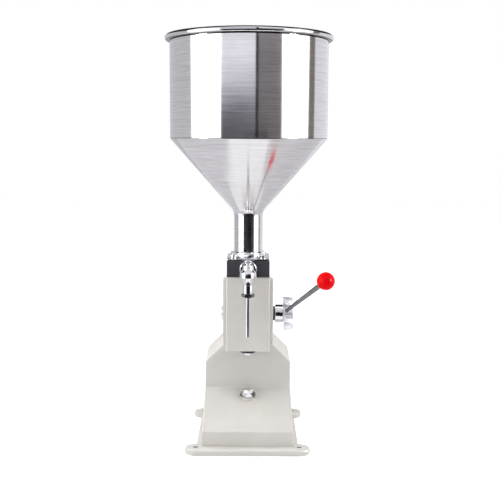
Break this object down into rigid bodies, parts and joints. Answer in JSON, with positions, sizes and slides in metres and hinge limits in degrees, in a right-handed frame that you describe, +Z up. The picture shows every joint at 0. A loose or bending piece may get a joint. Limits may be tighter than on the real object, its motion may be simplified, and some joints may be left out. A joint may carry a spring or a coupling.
{
  "type": "manual piston filling machine",
  "caption": "Bench filling machine: a steel hopper over a valve block, a lever that works a rack and piston in the head, a needle nozzle in front and a sloped cast foot with a stop bolt.",
  "frame": {"origin": "on the ground under the hopper's axis, which is also the piston's axis and the middle of the bounding box's footprint", "axes": "+Z up, -Y the front with the nozzle, +X the side with the lever"},
  "size_m": [0.2846, 0.2846, 0.6999],
  "materials": {
    "painted_casting": "warm light grey enamel on cast metal, satin",
    "polished_steel": "polished stainless steel",
    "hopper_steel": "stainless sheet with a fine brushed grain",
    "dull_steel": "turned steel, dull",
    "black_steel": "blackened steel",
    "bright_alloy": "machined aluminium alloy",
    "black_plastic": "black machined plastic, satin",
    "white_plastic": "white low-friction plastic",
    "red_plastic": "glossy red moulded knob",
    "rubber": "soft black seal rubber"
  },
  "bodies": {
    "frame": {"base_casting": "painted_casting", "head_housing": "painted_casting", "rear_cover": "painted_casting", "rear_cover_screw_1": "polished_steel", "rear_cover_screw_2": "polished_steel", "rear_cover_screw_3": "polished_steel", "rear_cover_screw_4": "polished_steel", "head_bolt_1": "black_steel", "head_bolt_2": "black_steel", "head_bolt_3": "black_steel", "head_bolt_4": "black_steel", "stop_lock_nut": "polished_steel", "valve_block": "black_plastic", "neck_flange": "polished_steel", "flange_washer_1": "polished_steel", "flange_washer_2": "polished_steel", "flange_washer_3": "polished_steel", "flange_washer_4": "polished_steel", "flange_bolt_1": "polished_steel", "flange_bolt_2": "polished_steel", "flange_bolt_3": "polished_steel", "flange_bolt_4": "polished_steel", "hopper": "hopper_steel", "hopper_seal": "rubber", "inlet_seat": "white_plastic", "inlet_cage": "polished_steel", "cylinder_barrel": "polished_steel", "barrel_gasket": "rubber", "rod_guide": "black_plastic", "left_bearing_cap": "bright_alloy", "right_bush": "black_plastic", "nozzle_spigot": "polished_steel", "nozzle_gasket": "rubber", "union_nut": "polished_steel", "nozzle_elbow": "polished_steel", "outlet_seat": "white_plastic", "outlet_tube": "polished_steel", "tip_nut": "polished_steel", "needle": "polished_steel"},
    "lever": {"lever_shaft": "dull_steel", "drive_pinion": "dull_steel", "pinion_key": "dull_steel", "pinion_set_screw": "black_steel", "shaft_collar": "bright_alloy", "collar_set_screw": "black_steel", "lever_hub": "bright_alloy", "hub_washer": "polished_steel", "hub_screw": "polished_steel", "lever_rod": "dull_steel", "ball_knob": "red_plastic"},
    "piston": {"piston": "white_plastic", "piston_ring_1": "rubber", "piston_ring_2": "rubber", "rack_rod": "polished_steel"},
    "stop": {"stop_bolt": "polished_steel"},
    "inlet_valve": {"inlet_ball": "polished_steel", "inlet_spring": "dull_steel"},
    "outlet_valve": {"outlet_ball": "polished_steel", "outlet_spring": "dull_steel"}
  },
  "joints": [
    {"name": "lever_turn", "type": "hinge", "parent": "frame", "child": "lever", "pos_m": [0, -0.0205, 0.228], "axis": [1, 0, 0], "range_deg": [-45, 54]},
    {"name": "piston_slide", "type": "slide", "parent": "frame", "child": "piston", "axis": [0, 0, 1], "range_m": [-0.0118, 0.0142]},
    {"name": "stop_bolt_rise", "type": "slide", "parent": "frame", "child": "stop", "axis": [0, 0, 1], "range_m": [0, 0.04]},
    {"name": "inlet_valve_open", "type": "slide", "parent": "frame", "child": "inlet_valve", "axis": [0, 0, -1], "range_m": [0, 0.004], "stiffness_N_per_m": 300, "springref_m": -0.002, "deforming": ["inlet_spring"]},
    {"name": "outlet_valve_open", "type": "slide", "parent": "frame", "child": "outlet_valve", "axis": [0, 0, -1], "range_m": [0, 0.0025], "stiffness_N_per_m": 300, "springref_m": -0.002, "deforming": ["outlet_spring"]}
  ],
  "couplings": [
    {"joint": "piston_slide", "follows": "lever_turn", "m_per_rad": 0.015}
  ]
}
